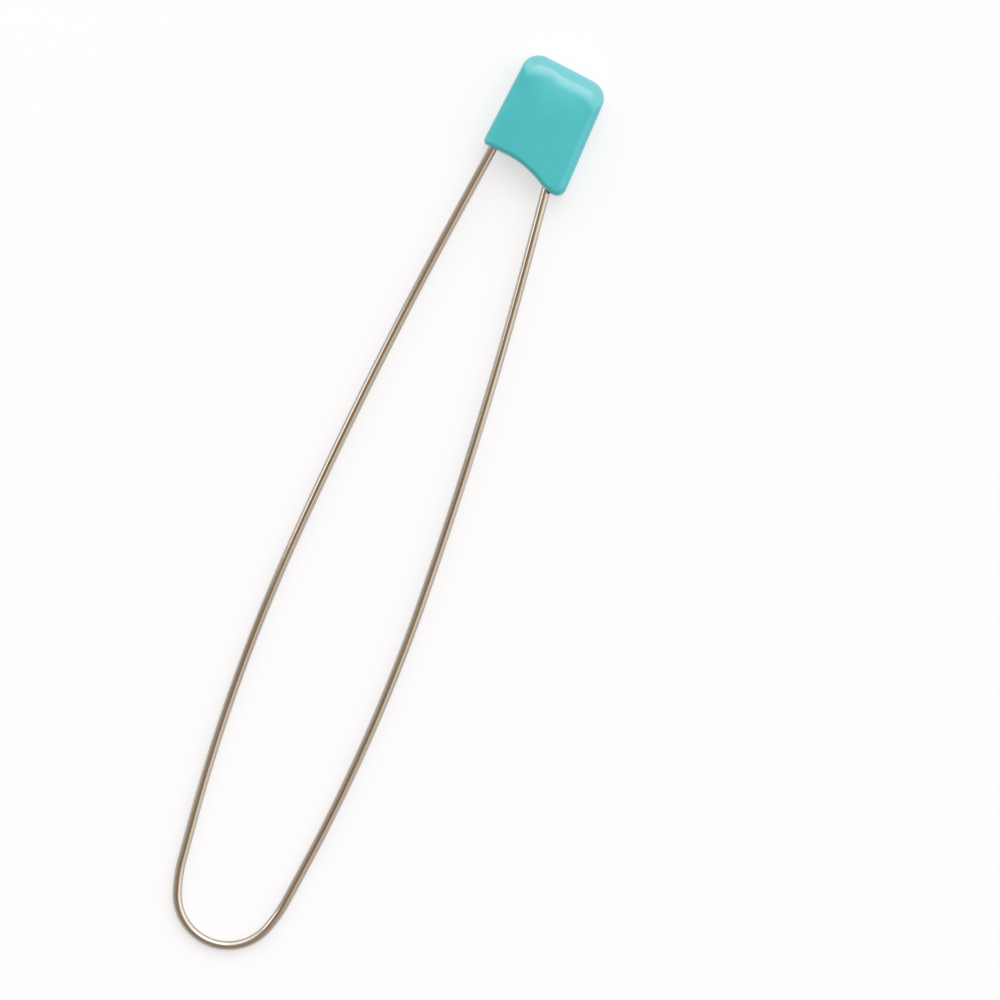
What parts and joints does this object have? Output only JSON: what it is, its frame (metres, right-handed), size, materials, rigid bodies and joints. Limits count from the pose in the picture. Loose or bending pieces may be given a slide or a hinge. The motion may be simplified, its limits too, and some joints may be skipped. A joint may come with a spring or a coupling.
{
  "type": "stitch holder",
  "caption": "Long bowed hairpin of bright spring wire with a moulded plastic head that grips one leg and catches the blunt free leg in a pocket at its back.",
  "frame": {"origin": "middle of the bottom of the bounding box, level with the back of the head", "axes": "+Y along the holder from the spring bend to the head, +X across it from the fixed leg to the free leg, +Z out of the closed front of the head"},
  "size_m": [0.0258, 0.1594, 0.005],
  "materials": {
    "wire": "bright nickel-plated spring steel",
    "head_plastic": "glossy moulded turquoise"
  },
  "bodies": {
    "holder": {"head": "head_plastic", "fixed_leg": "wire", "spring_bend": "wire"},
    "flex": {"flex_section": "wire"},
    "free_leg": {"free_leg": "wire"}
  },
  "joints": [
    {"name": "free_leg_swing", "type": "hinge", "parent": "holder", "child": "flex", "pos_m": [0.00904, -0.06786, 0.0022], "axis": [-0.3107, -0.9479, 0.0698], "range_deg": [0, 219.48], "deforming": ["flex_section"]},
    {"name": "free_leg_untwist", "type": "hinge", "parent": "flex", "child": "free_leg", "pos_m": [0.00904, -0.06786, 0.0022], "axis": [0.1245, 0.9922, 0], "range_deg": [0, 221]}
  ],
  "couplings": [
    {"joint": "free_leg_untwist", "follows": "free_leg_swing", "ratio": 1.0035}
  ]
}
